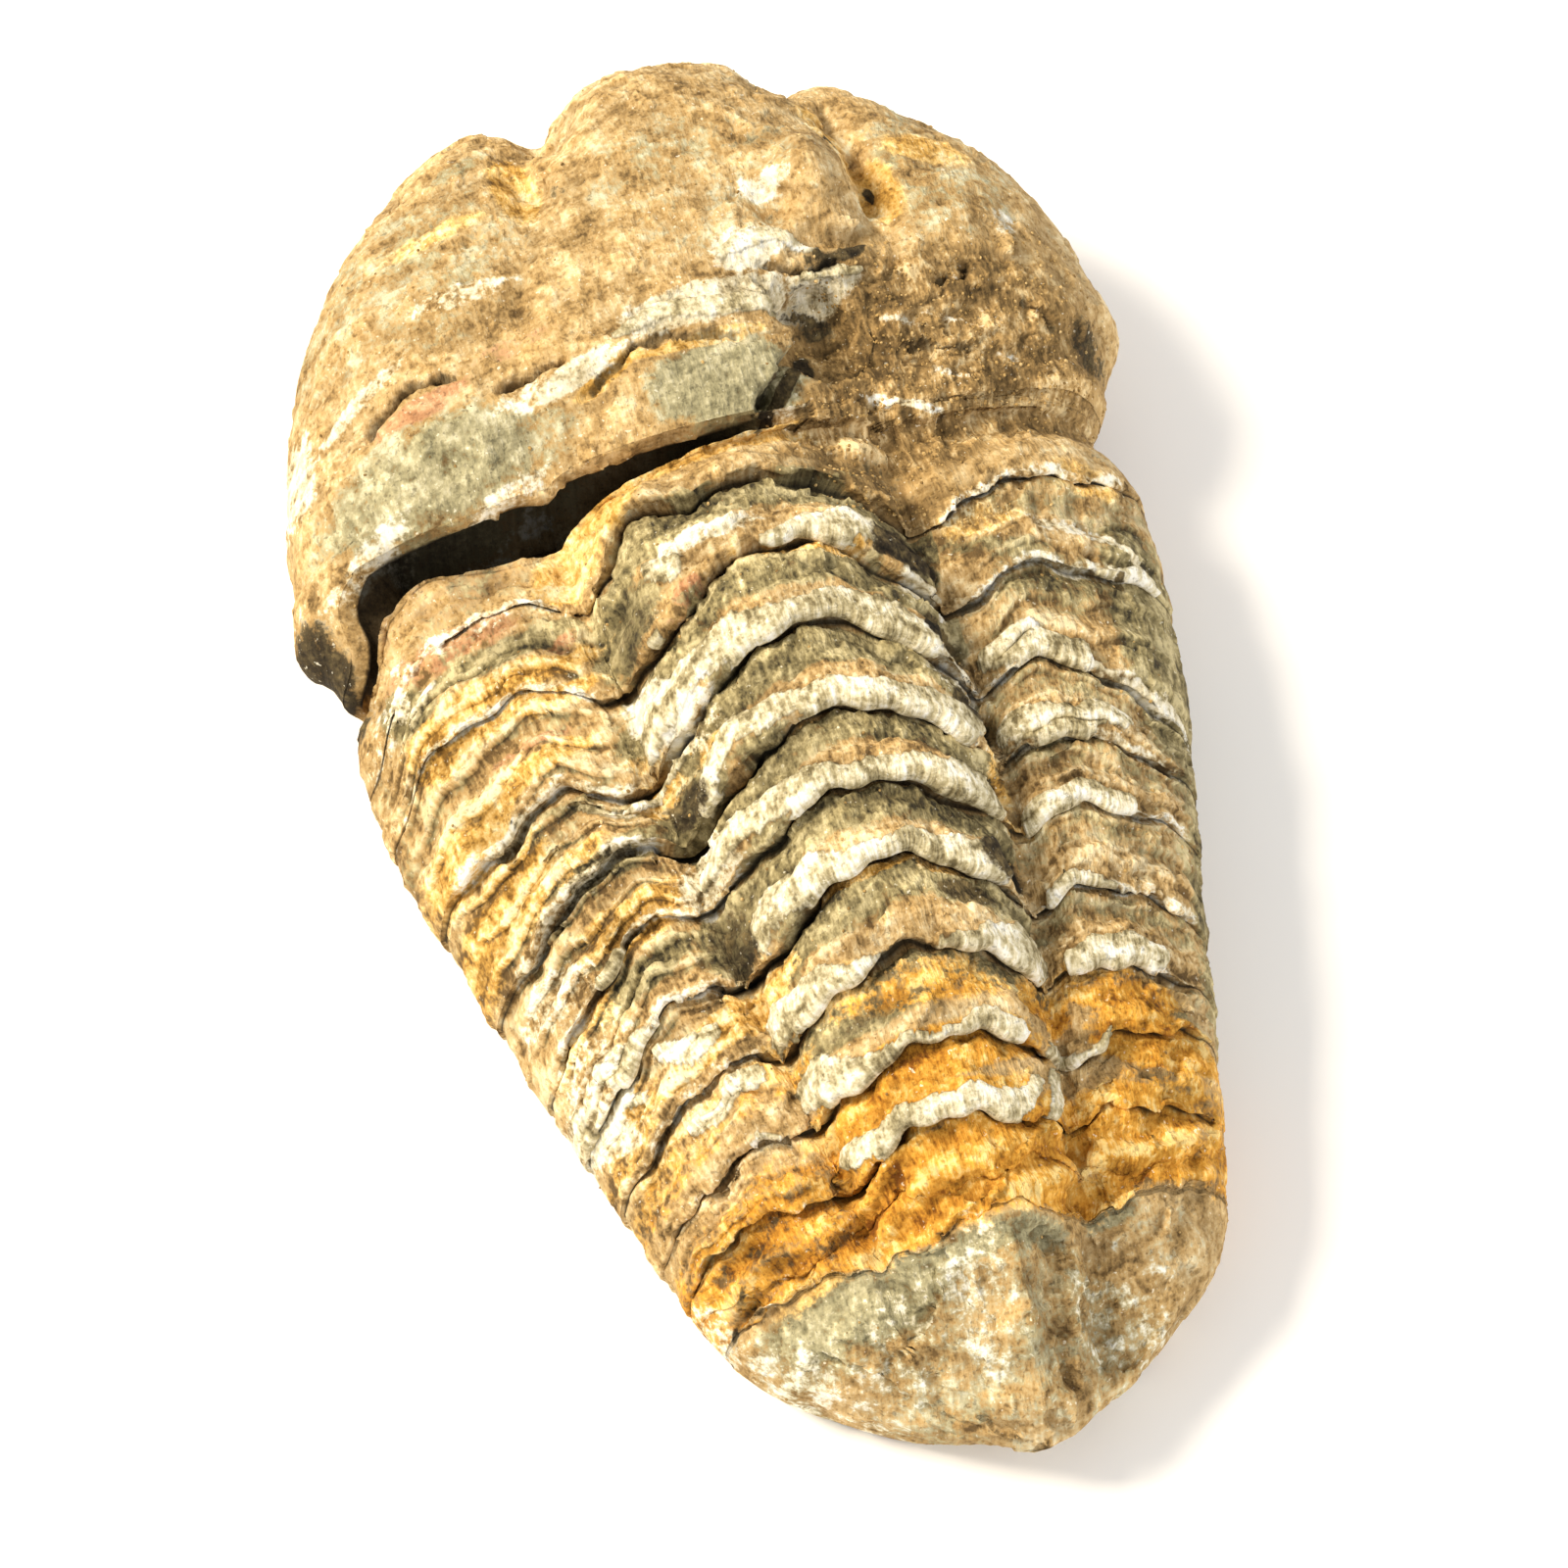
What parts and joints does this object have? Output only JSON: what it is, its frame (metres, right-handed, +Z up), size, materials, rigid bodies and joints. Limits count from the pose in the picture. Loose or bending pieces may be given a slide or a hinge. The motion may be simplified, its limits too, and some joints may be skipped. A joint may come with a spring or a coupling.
{
  "type": "fossil trilobite",
  "caption": "Weathered stone trilobite fossil with a broad rounded head, arched rings and side ribs, a blunt pointed tail and a flat belly to lie on.",
  "frame": {"origin": "middle of the bounding box in X and Y, at the plane of the flat belly", "axes": "+Z up from the belly to the back, +Y from the tail to the front of the head, +X to the right when it is seen from above with the tail nearest"},
  "size_m": [0.0452, 0.0784, 0.0192],
  "materials": {
    "limestone": "dry weathered limestone, tan and grey, with white calcite crust on the rings and ochre iron stains"
  },
  "bodies": {
    "root": {"trilobite": "limestone"}
  },
  "joints": []
}
